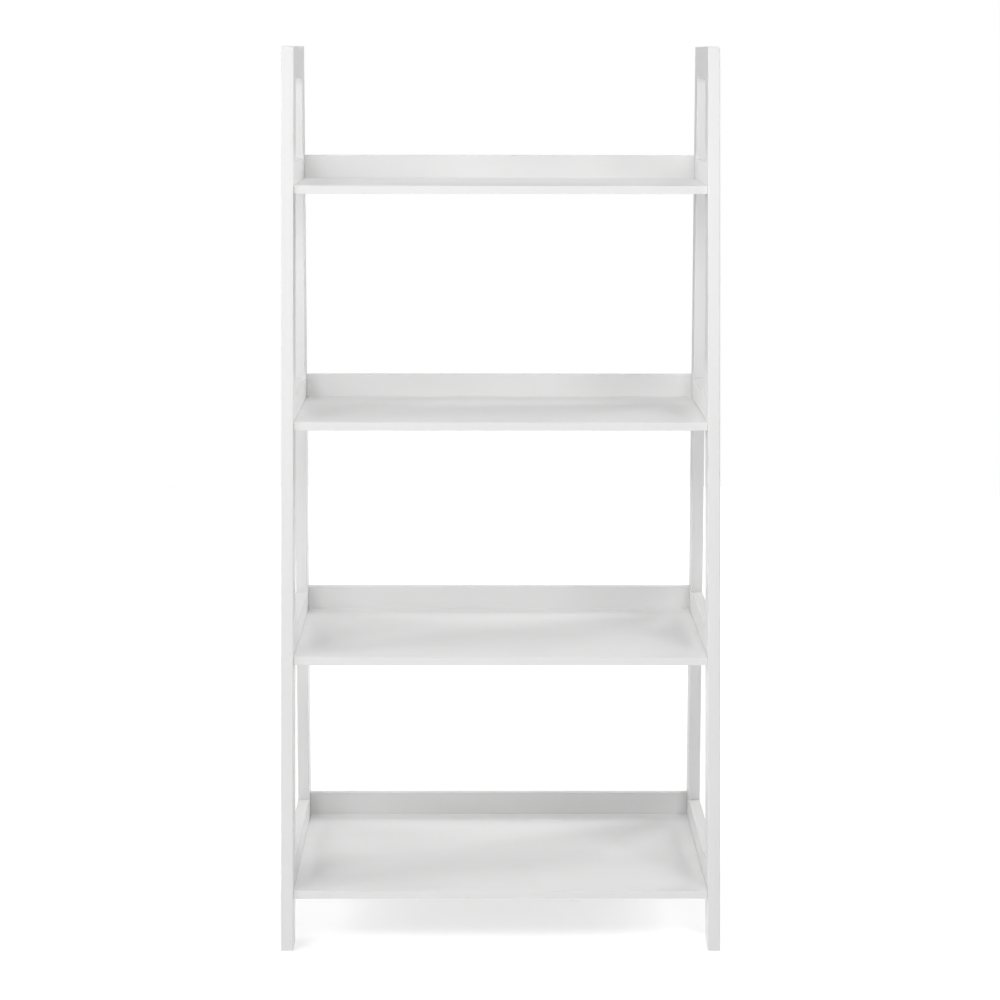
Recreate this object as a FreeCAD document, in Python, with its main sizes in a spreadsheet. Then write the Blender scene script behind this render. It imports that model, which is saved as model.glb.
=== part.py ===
import FreeCAD, Part
import Sketcher
import os

# Free-standing four-shelf ladder shelf, in millimetres.
# +X is to the right, the front faces -Y and +Z is up. The origin is on the floor, at the middle of the
# rectangle that the four feet span. Shelves are numbered from the top.

doc = FreeCAD.newDocument("ladder_shelf")
sizes = doc.addObject("Spreadsheet::Sheet", "sizes")

DIMENSIONS = {
    "width": 640,
    "height": 1302,
    "foot_depth": 456,
    "top_depth": 250,
    "frame_thickness": 18,
    "front_leg_depth": 50,
    "rear_leg_depth": 48,
    "frame_round": 1.5,
    "top_rail_height": 47,
    "rail_rise": 32,
    "lowest_board": 85.5,
    "low_spacing": 336.5,
    "middle_spacing": 338,
    "high_spacing": 341,
    "board_thickness": 12,
    "board_setback": 3,
    "board_round": 1,
    "back_rail_thickness": 12,
    "back_rail_rise": 35,
    "back_rail_inset": 3,
    "dowel_diameter": 8,
    "dowel_length": 30,
    "dowel_inset": 10,
    "connector_share": 0.24,
    "cam_diameter": 10,
    "cam_height": 8,
    "cam_slot_width": 1.4,
    "cam_slot_depth": 2,
    "stud_thread_length": 28,
    "stud_thread_diameter": 6,
    "stud_shank_diameter": 4.5,
    "stud_head_diameter": 6,
    "stud_head_length": 2,
    "stud_clearance": 0.4,
    "screw_diameter": 4,
    "screw_head_diameter": 7.6,
    "edge_screw_length": 40,
    "edge_screw_spacing": 200,
    "end_screw_length": 45,
    "end_screw_inset": 13,
    "plug_diameter": 8,
    "plug_depth": 3,
}
for row, (alias, number) in enumerate(DIMENSIONS.items(), start=1):
    sizes.set(f"A{row}", alias)
    sizes.set(f"B{row}", str(number))
    sizes.setAlias(f"B{row}", alias)
doc.recompute()

SIDES = {"left": -1, "right": 1}
SHELVES = (1, 2, 3, 4)
BOARD_STEPS = ("lowest_board", "low_spacing", "middle_spacing", "high_spacing")

BACK = "sizes.foot_depth / 2"
INSIDE = "(sizes.width / 2 - sizes.frame_thickness)"
FRAME_MIDDLE = "(sizes.width / 2 - sizes.frame_thickness / 2)"
RAIL_BACK = "(sizes.foot_depth / 2 - sizes.rear_leg_depth)"
BACK_RAIL_FACE = "(sizes.foot_depth / 2 - sizes.back_rail_inset)"
BOARD_BACK = "(sizes.foot_depth / 2 - sizes.back_rail_inset - sizes.back_rail_thickness)"


# ---- where things are, as expressions on the sheet


def front_face(level):
    """Depth position of a front leg's leaning front face at a height above the floor."""
    return f"(-sizes.foot_depth / 2 + (sizes.foot_depth - sizes.top_depth) * ({level}) / sizes.height)"


def rail_front(level):
    """Depth position of a front leg's leaning rear face at a height above the floor."""
    return f"({front_face(level)} + sizes.front_leg_depth)"


def board_top(shelf):
    """Height of a shelf board's top face above the floor."""
    steps = BOARD_STEPS[: len(BOARD_STEPS) + 1 - shelf]
    return "(" + " + ".join(f"sizes.{step}" for step in steps) + ")"


def board_bottom(shelf):
    """Height of a shelf board's underside, which its rails share."""
    return f"({board_top(shelf)} - sizes.board_thickness)"


def board_middle(shelf):
    """Height of the middle of a shelf board's thickness."""
    return f"({board_top(shelf)} - sizes.board_thickness / 2)"


def rail_top(shelf):
    """Height of the top faces of a shelf's two side rails."""
    return f"({board_top(shelf)} + sizes.rail_rise)"


def connector_depth(shelf):
    """Depth position of a shelf's connectors: a share of the side rail's length behind the front leg."""
    start = rail_front(rail_top(shelf))
    return f"({start} + sizes.connector_share * ({RAIL_BACK} - {start}))"


def rail_levels():
    """Underside and top of each rail in a side frame, the four side rails and the top rail."""
    levels = [(board_bottom(shelf), rail_top(shelf)) for shelf in SHELVES]
    return levels + [("(sizes.height - sizes.top_rail_height)", "sizes.height")]


def number_of(expression):
    """Value of an expression on the sheet, as a plain number."""
    return float(sizes.evalExpression(expression))


# ---- bars and boards: an outline seen from the side, padded across, with eased long edges


def outline(body, corners):
    """Closed outline in the body's own depth-height plane, with every corner tied to the sheet."""
    sketch = body.newObject("Sketcher::SketchObject", f"{body.Name}_outline")
    plane = next(item for item in body.Origin.OriginFeatures if item.Role == "YZ_Plane")
    sketch.AttachmentSupport = (plane, [""])
    sketch.MapMode = "FlatFace"
    spots = [FreeCAD.Vector(number_of(depth), number_of(level), 0) for depth, level in corners]
    following = spots[1:] + spots[:1]
    for spot, next_spot in zip(spots, following):
        sketch.addGeometry(Part.LineSegment(spot, next_spot), False)
    for index, (depth, level) in enumerate(corners):
        next_index = (index + 1) % len(corners)
        sketch.addConstraint(Sketcher.Constraint("Coincident", index, 2, next_index, 1))
        for kind, expression in (("DistanceX", depth), ("DistanceY", level)):
            distance = number_of(expression)
            row = sketch.addConstraint(Sketcher.Constraint(kind, -1, 1, index, 1, distance))
            sketch.setExpression(f"Constraints[{row}]", expression)
    return sketch


def long_edges(shape, share=0.35):
    """Names of the edges at least a given share of the longest edge, which are the ones that are eased."""
    longest = max(edge.Length for edge in shape.Edges)
    return [f"Edge{index}" for index, edge in enumerate(shape.Edges, start=1)
            if edge.Length >= share * longest]


def bar(name, corners, start, thickness, rounding):
    """Bar or board with a side outline, standing from one X position across its thickness."""
    body = doc.addObject("PartDesign::Body", name)
    pad = body.newObject("PartDesign::Pad", f"{name}_pad")
    pad.Profile = outline(body, corners)
    pad.setExpression("Length", thickness)
    doc.recompute()
    eased = body.newObject("PartDesign::Fillet", f"{name}_eased")
    eased.Base = (pad, long_edges(pad.Shape))
    eased.setExpression("Radius", rounding)
    body.setExpression(".Placement.Base.x", start)
    return body


def frame_bar(name, side, corners):
    """Bar of a side frame, as thick as the frame and flush with its outer face."""
    start = "-sizes.width / 2" if side == "left" else INSIDE
    return bar(name, corners, start, "sizes.frame_thickness", "sizes.frame_round")


def cross_bar(name, corners, rounding):
    """Board or rail that spans between the inner faces of the two side frames."""
    return bar(name, corners, f"-{INSIDE}", f"2 * {INSIDE}", rounding)


def front_leg(side):
    """Front leg: leans back over its whole height and is cut level at the foot and at the top."""
    corners = [(front_face("0"), "0"), (rail_front("0"), "0"),
               (rail_front("sizes.height"), "sizes.height"), (front_face("sizes.height"), "sizes.height")]
    return frame_bar(f"{side}_front_leg_bar", side, corners)


def rear_leg(side):
    """Rear leg: upright."""
    corners = [(RAIL_BACK, "0"), (BACK, "0"), (BACK, "sizes.height"), (RAIL_BACK, "sizes.height")]
    return frame_bar(f"{side}_rear_leg_bar", side, corners)


def frame_rail(name, side, bottom, top):
    """Rail between the two legs of a side frame, its front end cut to the front leg's lean."""
    corners = [(rail_front(bottom), bottom), (RAIL_BACK, bottom), (RAIL_BACK, top), (rail_front(top), top)]
    return frame_bar(name, side, corners)


def shelf_board(shelf):
    """Shelf board: from just behind the front legs' faces to the back rail."""
    front = f"({front_face(board_top(shelf))} + sizes.board_setback)"
    bottom, top = board_bottom(shelf), board_top(shelf)
    corners = [(front, bottom), (BOARD_BACK, bottom), (BOARD_BACK, top), (front, top)]
    return cross_bar(f"shelf_board_{shelf}_blank", corners, "sizes.board_round")


def back_rail(shelf):
    """Back rail: closes the rear of a board and stands above it."""
    bottom, top = board_bottom(shelf), f"({board_top(shelf)} + sizes.back_rail_rise)"
    corners = [(BOARD_BACK, bottom), (BACK_RAIL_FACE, bottom), (BACK_RAIL_FACE, top), (BOARD_BACK, top)]
    return cross_bar(f"back_rail_{shelf}_bar", corners, "sizes.board_round")


# ---- round fasteners, which also cut their own bores


def round_pin(name, place, direction, diameter, length):
    """Cylinder that starts at a place given by three expressions and runs along a direction."""
    pin = doc.addObject("Part::Cylinder", name)
    pin.setExpression("Radius", f"{diameter} / 2")
    pin.setExpression("Height", length)
    pin.Placement = FreeCAD.Placement(
        FreeCAD.Vector(), FreeCAD.Rotation(FreeCAD.Vector(0, 0, 1), FreeCAD.Vector(*direction)))
    for axis, expression in zip("xyz", place):
        pin.setExpression(f".Placement.Base.{axis}", expression)
    return pin


def group(name, members):
    """Group of separate solids that are made and fitted alike."""
    together = doc.addObject("Part::Compound", name)
    together.Links = members
    return together


def frame_dowels(side, end):
    """Dowels of one side frame, two in each rail's front end or rear end, half in the rail."""
    members = []
    for rail, (bottom, top) in enumerate(rail_levels(), start=1):
        for row, level in enumerate((f"({bottom} + sizes.dowel_inset)", f"({top} - sizes.dowel_inset)")):
            joint = rail_front(level) if end == "front" else RAIL_BACK
            place = (f"{SIDES[side]} * {FRAME_MIDDLE}", f"{joint} - sizes.dowel_length / 2", level)
            members.append(round_pin(f"{side}_{end}_dowel_{rail}_{row}", place, (0, 1, 0),
                                     "sizes.dowel_diameter", "sizes.dowel_length"))
    return group(f"{side}_{end}_dowels", members)


def cam_bore(side, shelf):
    """Bore for a connector cam, open at the side rail's underside."""
    place = (f"{SIDES[side]} * {FRAME_MIDDLE}", connector_depth(shelf), board_bottom(shelf))
    return round_pin(f"{side}_cam_bore_{shelf}", place, (0, 0, 1), "sizes.cam_diameter",
                     "(sizes.board_thickness + sizes.cam_height) / 2")


def end_levels(shelf):
    """Heights of the two screws in each end of a back rail."""
    return (board_middle(shelf),
            f"({board_top(shelf)} + sizes.back_rail_rise - sizes.end_screw_inset)")


def plug_holes(side, shelf):
    """Counterbores in a rear leg's outer face, over the back rail's end screws."""
    depth = f"({BACK_RAIL_FACE} - sizes.back_rail_thickness / 2)"
    return [round_pin(f"{side}_plug_hole_{shelf}_{row}", (f"{SIDES[side]} * sizes.width / 2", depth, level),
                      (-SIDES[side], 0, 0), "sizes.plug_diameter", "sizes.plug_depth")
            for row, level in enumerate(end_levels(shelf))]


def turned(profile):
    """Solid turned about the Z axis from (radius, height) corners, listed from the axis round to the axis."""
    points = [FreeCAD.Vector(radius, 0, height) for radius, height in profile]
    wire = Part.makePolygon(points + points[:1])
    return Part.Face(wire).revolve(FreeCAD.Vector(), FreeCAD.Vector(0, 0, 1), 360)


def facing(shape, place, direction):
    """Copy of a shape moved so that its +Z points along a direction from a place."""
    copy = shape.copy()
    copy.Placement = FreeCAD.Placement(
        FreeCAD.Vector(*place), FreeCAD.Rotation(FreeCAD.Vector(0, 0, 1), FreeCAD.Vector(*direction)))
    return copy


def shape_group(name, shapes):
    """Group of separate solids shaped with turned profiles."""
    together = doc.addObject("Part::Feature", name)
    together.Shape = Part.makeCompound(shapes)
    return together


def countersunk_screw(length):
    """Wood screw with a flat countersunk head: its head's face is at the origin, pointing to +Z."""
    head = number_of("sizes.screw_head_diameter / 2")
    shank = number_of("sizes.screw_diameter / 2")
    neck = shank - head
    tip = 2 * shank
    return turned([(0, 0), (head, 0), (shank, neck), (shank, tip - length), (0, -length)])


def edge_screws():
    """Screws through the back rails into the boards' rear edges, heads flush with the back rails."""
    screw = countersunk_screw(number_of("sizes.edge_screw_length"))
    spacing = number_of("sizes.edge_screw_spacing")
    face = number_of(BACK_RAIL_FACE)
    return shape_group("board_edge_screws", [
        facing(screw, (column * spacing, face, number_of(board_middle(shelf))), (0, 1, 0))
        for shelf in SHELVES for column in (-1, 0, 1)])


def end_places(side, shelf, inset):
    """Points on the axes of a back rail's end screws, an inset in from the rear leg's outer face."""
    across = SIDES[side] * (number_of("sizes.width / 2") - inset)
    depth = number_of(f"{BACK_RAIL_FACE} - sizes.back_rail_thickness / 2")
    return [(across, depth, number_of(level)) for level in end_levels(shelf)]


def end_screws(side):
    """Screws through one rear leg into the ends of the back rails, heads below the plugs."""
    screw = countersunk_screw(number_of("sizes.end_screw_length"))
    inset = number_of("sizes.plug_depth")
    return shape_group(f"{side}_end_screws", [
        facing(screw, place, (SIDES[side], 0, 0))
        for shelf in SHELVES for place in end_places(side, shelf, inset)])


def cover_plugs(side):
    """Plugs pressed into the counterbores over one rear leg's screws, flush with the leg."""
    radius, depth = number_of("sizes.plug_diameter / 2"), number_of("sizes.plug_depth")
    plug = Part.makeCylinder(radius, depth, FreeCAD.Vector(0, 0, -depth))
    return shape_group(f"{side}_cover_plugs", [
        facing(plug, place, (SIDES[side], 0, 0))
        for shelf in SHELVES for place in end_places(side, shelf, 0)])


def connector_places(side):
    """Points on the inner face of one side frame where the studs cross it, one for each shelf."""
    across = SIDES[side] * number_of(INSIDE)
    return [(across, number_of(connector_depth(shelf)), number_of(board_middle(shelf))) for shelf in SHELVES]


def connector_studs(side):
    """Studs screwed into one end of each board, with a shank and a head that the cam grips."""
    thread = number_of("sizes.stud_thread_diameter / 2")
    shank = number_of("sizes.stud_shank_diameter / 2")
    head = number_of("sizes.stud_head_diameter / 2")
    start = -number_of("sizes.stud_thread_length")
    neck = number_of("sizes.frame_thickness / 2")
    end = neck + number_of("sizes.stud_head_length")
    stud = turned([(0, start), (thread, start + thread), (thread, 0), (shank, 0), (shank, neck),
                   (head, neck), (head, end), (0, end)])
    return shape_group(f"{side}_connector_studs", [
        facing(stud, place, (SIDES[side], 0, 0)) for place in connector_places(side)])


def connector_cams(side):
    """Round cams in one side frame's rails: a tunnel takes the stud's head, a cross takes the driver."""
    radius, height = number_of("sizes.cam_diameter / 2"), number_of("sizes.cam_height")
    tunnel = number_of("(sizes.stud_head_diameter + sizes.stud_clearance) / 2")
    reach = radius + number_of("sizes.stud_head_length + sizes.stud_clearance")
    width, depth = number_of("sizes.cam_slot_width"), number_of("sizes.cam_slot_depth")
    inward = FreeCAD.Vector(-SIDES[side], 0, 0)
    cam = Part.makeCylinder(radius, height, FreeCAD.Vector(0, 0, -height / 2))
    cam = cam.cut(Part.makeCylinder(tunnel, reach, inward * radius, inward * -1))
    for slot_x, slot_y in ((radius, width / 2), (width / 2, radius)):
        cross = Part.makeBox(2 * slot_x, 2 * slot_y, depth, FreeCAD.Vector(-slot_x, -slot_y, -height / 2))
        cam = cam.cut(cross.common(Part.makeCylinder(radius * 0.7, height, FreeCAD.Vector(0, 0, -height))))
    middle = SIDES[side] * number_of(FRAME_MIDDLE)
    return shape_group(f"{side}_connector_cams", [
        facing(cam, (middle, place[1], place[2]), (0, 0, 1)) for place in connector_places(side)])


# ---- the pieces as they are fitted, each cut by the fasteners that go through it


def bored(label, blank, tools):
    """A bar or board with the bores of its fasteners."""
    cutter = doc.addObject("Part::MultiFuse", f"{label}_bores")
    cutter.Shapes = tools
    piece = doc.addObject("Part::Cut", label)
    piece.Base = blank
    piece.Tool = cutter
    return piece


pieces = {}
edge_fasteners = edge_screws()
pieces["board_edge_screws"] = edge_fasteners
end_fasteners = {}
studs = {}
for side in SIDES:
    front_dowels = frame_dowels(side, "front")
    rear_dowels = frame_dowels(side, "rear")
    end_fasteners[side] = end_screws(side)
    studs[side] = connector_studs(side)
    holes = [hole for shelf in SHELVES for hole in plug_holes(side, shelf)]
    pieces[f"{side}_front_dowels"] = front_dowels
    pieces[f"{side}_rear_dowels"] = rear_dowels
    pieces[f"{side}_end_screws"] = end_fasteners[side]
    pieces[f"{side}_cover_plugs"] = cover_plugs(side)
    pieces[f"{side}_connector_studs"] = studs[side]
    pieces[f"{side}_connector_cams"] = connector_cams(side)
    pieces[f"{side}_front_leg"] = bored(f"{side}_front_leg", front_leg(side), [front_dowels])
    pieces[f"{side}_rear_leg"] = bored(f"{side}_rear_leg", rear_leg(side),
                                       [rear_dowels, end_fasteners[side]] + holes)
    top_levels = rail_levels()[-1]
    pieces[f"{side}_top_rail"] = bored(f"{side}_top_rail",
                                       frame_rail(f"{side}_top_rail_bar", side, *top_levels),
                                       [front_dowels, rear_dowels])
    for shelf in SHELVES:
        label = f"{side}_side_rail_{shelf}"
        blank = frame_rail(f"{label}_bar", side, board_bottom(shelf), rail_top(shelf))
        tools = [front_dowels, rear_dowels, cam_bore(side, shelf), studs[side]]
        pieces[label] = bored(label, blank, tools)
for shelf in SHELVES:
    board_tools = [edge_fasteners] + list(studs.values())
    pieces[f"shelf_board_{shelf}"] = bored(f"shelf_board_{shelf}", shelf_board(shelf), board_tools)
    rail_tools = [edge_fasteners] + list(end_fasteners.values())
    pieces[f"back_rail_{shelf}"] = bored(f"back_rail_{shelf}", back_rail(shelf), rail_tools)
doc.recompute()

for item in doc.Objects:
    if "Invalid" in item.State or "Error" in item.State:
        raise RuntimeError(f"{item.Label} did not recompute: {item.State}")
os.makedirs("parts", exist_ok=True)
for label, piece in pieces.items():
    piece.Label = label
    shape = piece.Shape
    if shape.isNull() or not shape.isValid():
        raise RuntimeError(f"{label} has no valid shape")
    shape.exportStep(f"parts/{label}.step")
    print(f"{label}: {len(shape.Solids)} solid, {shape.Volume / 1000:.1f} cm3")
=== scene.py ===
# A white ladder shelf, built up in the order it is made: two glued side frames, then the boards and back
# rails, then the fasteners that hold them. Lengths are in metres, +Z is up and the front faces -Y.
import bpy
import math
import numpy as np
from mathutils import Matrix, Vector


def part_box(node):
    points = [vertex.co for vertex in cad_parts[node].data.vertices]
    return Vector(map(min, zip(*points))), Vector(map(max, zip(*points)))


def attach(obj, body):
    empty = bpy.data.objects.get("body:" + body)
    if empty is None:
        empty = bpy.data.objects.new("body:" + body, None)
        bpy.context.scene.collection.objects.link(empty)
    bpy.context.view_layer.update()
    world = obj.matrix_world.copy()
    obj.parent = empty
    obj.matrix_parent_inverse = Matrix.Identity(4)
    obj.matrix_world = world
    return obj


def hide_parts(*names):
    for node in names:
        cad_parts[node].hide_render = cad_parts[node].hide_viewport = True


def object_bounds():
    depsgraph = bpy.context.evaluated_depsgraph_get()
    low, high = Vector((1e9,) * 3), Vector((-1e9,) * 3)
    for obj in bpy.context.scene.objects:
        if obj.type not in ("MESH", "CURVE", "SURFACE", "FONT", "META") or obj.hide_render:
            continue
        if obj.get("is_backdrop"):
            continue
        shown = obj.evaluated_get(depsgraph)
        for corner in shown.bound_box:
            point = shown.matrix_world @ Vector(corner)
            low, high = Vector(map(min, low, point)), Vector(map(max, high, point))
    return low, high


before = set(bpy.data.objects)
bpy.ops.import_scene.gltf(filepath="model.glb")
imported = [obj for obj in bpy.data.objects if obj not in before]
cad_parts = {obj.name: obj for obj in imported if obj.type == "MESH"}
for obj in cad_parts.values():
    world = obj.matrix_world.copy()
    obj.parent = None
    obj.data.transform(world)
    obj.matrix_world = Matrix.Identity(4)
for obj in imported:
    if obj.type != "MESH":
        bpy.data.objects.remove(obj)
cad_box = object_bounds()


# ---- Front legs
# Two softwood uprights planed to 18 by 50 mm, leaning back by about nine degrees and sawn level at both
# ends. The rails are glued to their rear edge, the frame is sanded flush there, and then it is sprayed white.

FRONT_LEG_DEPTH = 0.050
FRAME_ARRIS = 0.0015
JOINT_ARRIS = 0.0002
JOINT_RUNOUT = 0.003
ARC_STEPS = 5
EDGE_MARGIN = 0.0009
SEAM_STEP = 0.0005
GRID = 0.012
WIDE_FLAT_GRID = 0.006
NARROW_FLAT_GRID = 0.005
SHELVES = (1, 2, 3, 4)


def inner_places(low, high, spacing):
    """Evenly spaced places between two ends, starting and stopping a margin inside them."""
    count = max(2, int(round((high - low) / spacing)) + 1)
    return np.linspace(low + EDGE_MARGIN, high - EDGE_MARGIN, count)


def flat_places(half, arris_radius, spacing):
    """Inner places across a flat whose sharp edges would lie a half width to either side of its middle."""
    return inner_places(arris_radius - half, half - arris_radius, spacing)


def with_places(run, extra, clearance=0.002):
    """Adds extra places to a run, and drops the run's own places that lie too near to them."""
    extra = np.asarray(extra, dtype=float)
    gap = np.abs(run[:, None] - extra).min(axis=1)
    return np.sort(np.concatenate([run[gap > clearance], extra]))


def bar_section(half_a, half_b, along_a, along_b):
    """Section of a bar, anticlockwise, as anchors, pulls, directions and places in an arris.

    An anchor lies on the sharp rectangle. The rounded outline is anchor + radius * (direction - pull). A
    corner's points share its anchor, their pull is the corner's two signs, and their direction turns
    through a quarter circle. On the flats pull and direction are the same, so the points stay put.
    """
    signs = np.array([[1, 1], [-1, 1], [-1, -1], [1, -1]])
    turn = np.linspace(0, np.pi / 2, ARC_STEPS + 1)
    anchor, pull, outward, arris = [], [], [], []
    for side in range(4):
        facing = side * np.pi / 2
        flat_direction = np.round([np.cos(facing), np.sin(facing)])
        places = along_b if side % 2 == 0 else along_a
        places = places if side in (0, 3) else places[::-1]
        flat = np.tile(flat_direction * (half_a, half_b), (len(places), 1))
        flat[:, 1 if side % 2 == 0 else 0] = places
        corner = np.tile(signs[side], (ARC_STEPS + 1, 1))
        anchor += [flat, corner * (half_a, half_b)]
        pull += [np.tile(flat_direction, (len(places), 1)), corner]
        outward += [pull[-2], np.stack([np.cos(facing + turn), np.sin(facing + turn)], axis=1)]
        arris += [np.zeros(len(places)), np.sin(2 * turn)]
    return tuple(np.concatenate(part) for part in (anchor, pull, outward, arris))


def bar_surface(section, length, run, arris_radius, end_radius, glued_side=0, glued_spans=()):
    """Bar with a rounded section carried along its length, and quarter-round edges at both ends.

    A point is the section's point, less end radius * (1 - cosine of its tip) along its direction; its
    distance along the bar is its place in the run, or an end less end radius * (1 - sine of its tip).
    Where rails are glued on, the arris radius fades to a sharp corner within each span. Gives points and
    normals as (rows, columns, 3), in the order first half width, second half width, length, and how far
    round an arris each point is, from 0 to 1.
    """
    anchor, pull, outward, arris = section
    tip = np.linspace(np.pi / 2, 0, ARC_STEPS + 1)
    tilt = np.concatenate([-tip, np.zeros(len(run)), tip[::-1]])
    straight = np.concatenate([np.zeros(len(tip)), run, np.full(len(tip), length)])
    held = np.zeros(len(tilt))
    for low, high in glued_spans:
        outside = np.maximum(low - straight, straight - high).clip(0, JOINT_RUNOUT)
        held = np.maximum(held, 1 - outside / JOINT_RUNOUT)
    held = held[:, None] * (pull[:, 1] * glued_side > 0)
    radius = arris_radius + (JOINT_ARRIS - arris_radius) * held
    at_end = np.minimum(radius, end_radius)
    points = np.empty((*held.shape, 3))
    normals = np.empty_like(points)
    points[..., :2] = anchor + radius[..., None] * (outward - pull)
    points[..., :2] -= (at_end * (1 - np.cos(tilt))[:, None])[..., None] * outward
    onward = np.concatenate([np.ones(len(tip)), np.zeros(len(run)), -np.ones(len(tip))])
    points[..., 2] = straight[:, None] + at_end * (onward * (1 - np.abs(np.sin(tilt))))[:, None]
    normals[..., :2] = np.cos(tilt)[:, None, None] * outward
    normals[..., 2] = np.sin(tilt)[:, None]
    worn = np.maximum(arris, np.abs(np.sin(2 * tilt))[:, None]) * (1 - held)
    return points, normals, worn


def in_timber(points, number):
    """Distances inside a piece, lengthwise first, moved on by the piece's number so no two match."""
    step = np.array([1.7, 0.31, 0.53])
    return points[..., [2, 0, 1]] + step * number


def leaned(points, normals, slope, height):
    """Shifts points along +Y by slope for each metre above a height, and turns the normals to match."""
    points[..., 1] += slope * (points[..., 2] - height)
    normals[..., 2] -= slope * normals[..., 1]
    normals /= np.linalg.norm(normals, axis=-1, keepdims=True)


def wrapped_quads(rows, columns):
    """Corner numbers of the quads between neighbouring rows, where each row is a closed loop."""
    row, column = np.meshgrid(np.arange(rows - 1), np.arange(columns), indexing="ij")
    onward = (column + 1) % columns
    quads = np.stack([row * columns + column, row * columns + onward,
                      (row + 1) * columns + onward, (row + 1) * columns + column], axis=-1)
    return quads.reshape(-1, 4)


def end_faces(rows, columns):
    """The two faces that close the first and the last loop of a stack of loops."""
    first = np.arange(columns)
    return [first[::-1].tolist(), (first + (rows - 1) * columns).tolist()]


def bar_faces(worn):
    """All the faces of a bar whose loops are the rows of a grid."""
    return wrapped_quads(*worn.shape).tolist() + end_faces(*worn.shape)


def placed_piece(name, mesh, material, stands_for):
    """Puts a finished mesh on the body with its material, in place of the CAD node it stands for."""
    mesh.materials.append(material)
    piece = bpy.data.objects.new(name, mesh)
    bpy.context.collection.objects.link(piece)
    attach(piece, "root")
    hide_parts(stands_for)


def new_piece(name, points, normals, timber, worn, faces, material, slot, stands_for):
    """A finished piece with its own normals, its place in the timber and its arris values."""
    mesh = bpy.data.meshes.new(name)
    mesh.from_pydata(points.reshape(-1, 3).tolist(), [], faces)
    places = mesh.attributes.new("timber", "FLOAT_VECTOR", "POINT")
    places.data.foreach_set("vector", timber.astype(np.float32).ravel())
    edges = mesh.attributes.new("arris", "FLOAT", "POINT")
    edges.data.foreach_set("value", worn.astype(np.float32).ravel())
    mesh.polygons.foreach_set("use_smooth", np.ones(len(mesh.polygons), dtype=bool))
    mesh.normals_split_custom_set_from_vertices(normals.reshape(-1, 3).tolist())
    placed_piece(name, mesh, material, stands_for)


def add_node(tree, kind, inputs=(), **settings):
    """Adds a shader node, applies its settings, and sets or links each named input."""
    node = tree.nodes.new(kind)
    for key, value in settings.items():
        setattr(node, key, value)
    for key, value in dict(inputs).items():
        if isinstance(value, bpy.types.NodeSocket):
            tree.links.new(value, node.inputs[key])
        else:
            node.inputs[key].default_value = value
    return node


def stretched_noise(tree, place, scale, detail=3.0, roughness=0.5):
    """Noise on a place vector that is first scaled by its own number of cells per metre on each axis."""
    scaled = add_node(tree, "ShaderNodeVectorMath", {0: place, 1: scale}, operation="MULTIPLY")
    noise = add_node(tree, "ShaderNodeTexNoise",
                     {"Vector": scaled.outputs[0], "Scale": 1.0, "Detail": detail, "Roughness": roughness})
    return noise.outputs["Fac"]


def spread(tree, value, low, high, to_low, to_high):
    """Maps a value from one range to another, held at the ends."""
    mapped = add_node(tree, "ShaderNodeMapRange", {"Value": value, "From Min": low, "From Max": high,
                                                   "To Min": to_low, "To Max": to_high}, clamp=True)
    return mapped.outputs["Result"]


def times(tree, first, second):
    """Product of two values."""
    return add_node(tree, "ShaderNodeMath", {0: first, 1: second}, operation="MULTIPLY").outputs[0]


def mixed(tree, factor, first, second):
    """Colour between two colours or colour outputs by a factor."""
    mix = tree.nodes.new("ShaderNodeMix")
    mix.data_type = "RGBA"
    for socket, value in zip((mix.inputs[0], mix.inputs[6], mix.inputs[7]), (factor, first, second)):
        if isinstance(value, bpy.types.NodeSocket):
            tree.links.new(value, socket)
        else:
            socket.default_value = value
    return mix.outputs[2]


def bumped(tree, height, strength, distance, normal=None):
    """Surface normal pushed by a height pattern, on top of another bump if there is one."""
    inputs = {"Height": height, "Strength": strength, "Distance": distance}
    if normal is not None:
        inputs["Normal"] = normal
    return add_node(tree, "ShaderNodeBump", inputs).outputs["Normal"]


def new_material(name):
    """A material with only its surface shader, and its node tree."""
    material = bpy.data.materials.new(name)
    material.use_nodes = True
    tree = material.node_tree
    return material, tree, tree.nodes["Principled BSDF"]


def sprayed_timber():
    """Sprayed white satin over softwood: the grain shows faintly through, and it thins on the arrises."""
    material, tree, surface = new_material("sprayed_timber")
    timber = add_node(tree, "ShaderNodeAttribute", attribute_name="timber").outputs["Vector"]
    arris = add_node(tree, "ShaderNodeAttribute", attribute_name="arris").outputs["Fac"]
    spot = add_node(tree, "ShaderNodeTexCoord").outputs["Object"]
    cloud = stretched_noise(tree, timber, (2.0, 9.0, 9.0))
    fibre = stretched_noise(tree, timber, (7.0, 420.0, 420.0), 6.0, 0.62)
    ring = stretched_noise(tree, timber, (1.6, 75.0, 75.0), 2.0)
    peel = stretched_noise(tree, spot, (620.0, 620.0, 620.0), 2.0)
    rub = stretched_noise(tree, timber, (26.0, 120.0, 120.0), 4.0, 0.65)
    coat = mixed(tree, spread(tree, cloud, 0.3, 0.7, 0.0, 1.0),
                 (0.822, 0.822, 0.82, 1), (0.845, 0.845, 0.843, 1))
    coat = mixed(tree, spread(tree, fibre, 0.52, 0.75, 0.0, 0.30), coat, (0.77, 0.767, 0.76, 1))
    thin = times(tree, arris, spread(tree, rub, 0.54, 0.66, 0.0, 0.45))
    tree.links.new(mixed(tree, thin, coat, (0.68, 0.66, 0.62, 1)), surface.inputs["Base Color"])
    tree.links.new(spread(tree, rub, 0.3, 0.7, 0.36, 0.48), surface.inputs["Roughness"])
    relief = bumped(tree, ring, 0.30, 0.00025)
    relief = bumped(tree, fibre, 0.35, 0.00010, relief)
    relief = bumped(tree, peel, 0.30, 0.00004, relief)
    tree.links.new(relief, surface.inputs["Normal"])
    surface.inputs["IOR"].default_value = 1.48
    return material


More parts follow.
